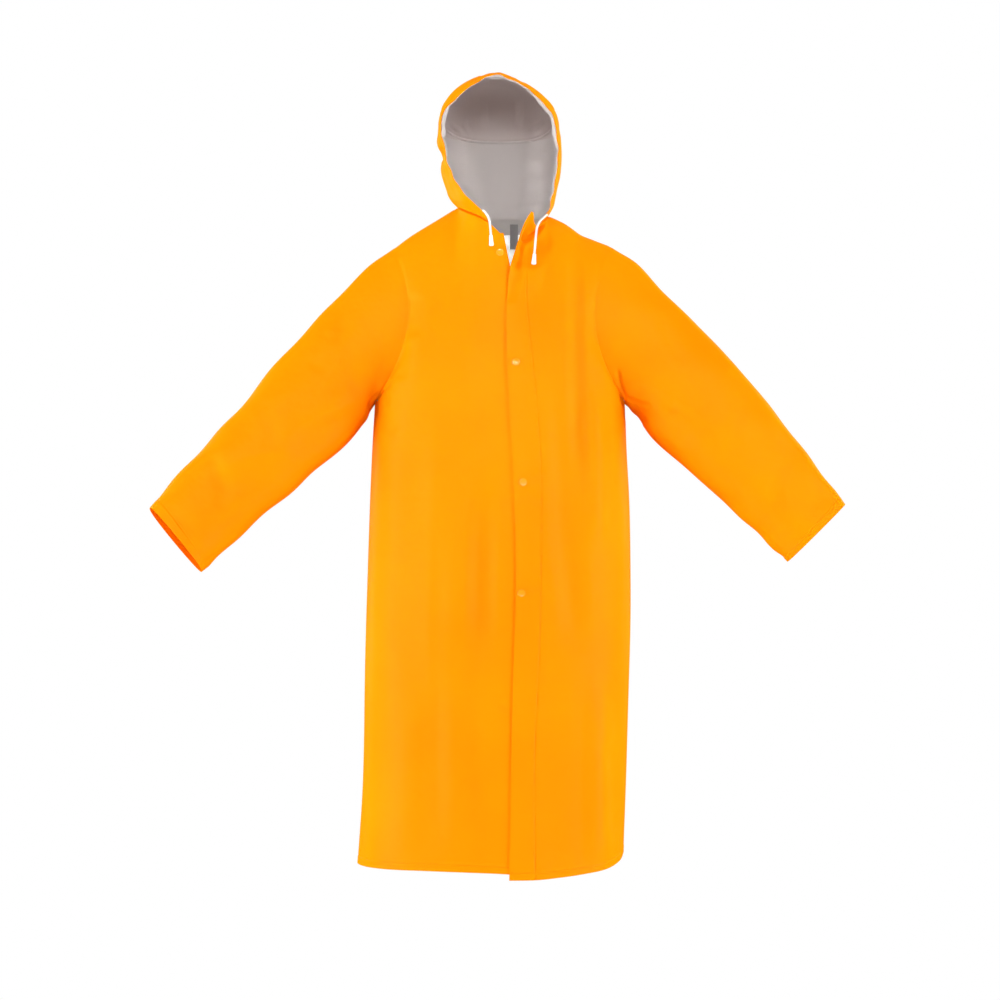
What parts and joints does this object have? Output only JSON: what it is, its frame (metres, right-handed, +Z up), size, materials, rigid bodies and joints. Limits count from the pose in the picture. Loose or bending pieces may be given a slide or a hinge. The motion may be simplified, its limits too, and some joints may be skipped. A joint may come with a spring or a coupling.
{
  "type": "pvc raincoat",
  "caption": "Long hooded PVC raincoat with a lapped snap front, plain sleeves and a hood drawstring, in its hollow worn shape with the hood up.",
  "frame": {"origin": "middle of the neck opening, level with the seam between the hood and the back, where the wearer carries the coat", "axes": "+Z up, -Y the way the coat faces, +X the wearer's left"},
  "size_m": [1.2172, 0.3313, 1.4125],
  "materials": {
    "pvc_orange": "smooth, soft satin shine of PVC on a textile backing",
    "backing_grey": "matt textile backing",
    "cord_white": "matt braided cord",
    "cord_end_white": "satin",
    "snap_orange": "glossy",
    "label_white": "matt"
  },
  "bodies": {
    "root": {"back": "pvc_orange", "drawstring_left": "cord_white", "drawstring_left_end": "cord_end_white", "drawstring_right": "cord_white", "drawstring_right_end": "cord_end_white", "front_left": "pvc_orange", "front_right": "pvc_orange", "hanger_loop": "backing_grey", "hood_crown": "pvc_orange", "hood_tunnel": "backing_grey", "hood_wrap": "pvc_orange", "neck_label": "label_white", "sleeve_left": "pvc_orange", "sleeve_right": "pvc_orange", "snap_cap_bottom": "snap_orange", "snap_cap_middle": "snap_orange", "snap_cap_neck": "snap_orange", "snap_cap_top": "snap_orange"}
  },
  "joints": []
}
